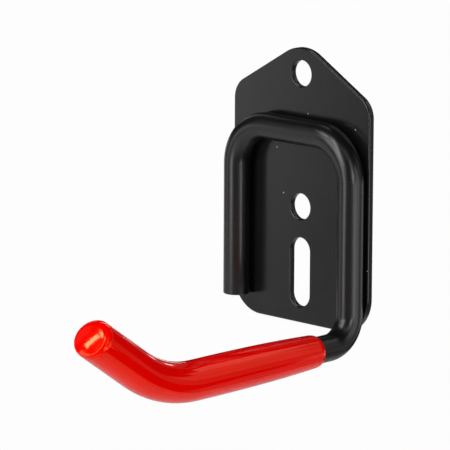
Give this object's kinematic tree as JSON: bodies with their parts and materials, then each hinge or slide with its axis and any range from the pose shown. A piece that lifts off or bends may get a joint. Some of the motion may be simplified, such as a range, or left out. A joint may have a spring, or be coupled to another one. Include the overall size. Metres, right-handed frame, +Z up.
{
  "type": "garage utility hook",
  "caption": "Wall hook: a gabled steel plate with screw holes and a slot, a bent round bar welded to it, and a soft sleeve over its upturned arm.",
  "frame": {"origin": "middle of the plate's back face, on the wall", "axes": "+X to the right seen from the front, +Y into the wall, +Z up; the arm reaches out along -Y"},
  "size_m": [0.0573, 0.1127, 0.0913],
  "materials": {
    "black_powder_coat": "semi-gloss black powder coat",
    "red_vinyl": "glossy soft red vinyl"
  },
  "bodies": {
    "root": {"mounting_plate": "black_powder_coat", "hook_rod": "black_powder_coat", "grip_sleeve": "red_vinyl"}
  },
  "joints": []
}
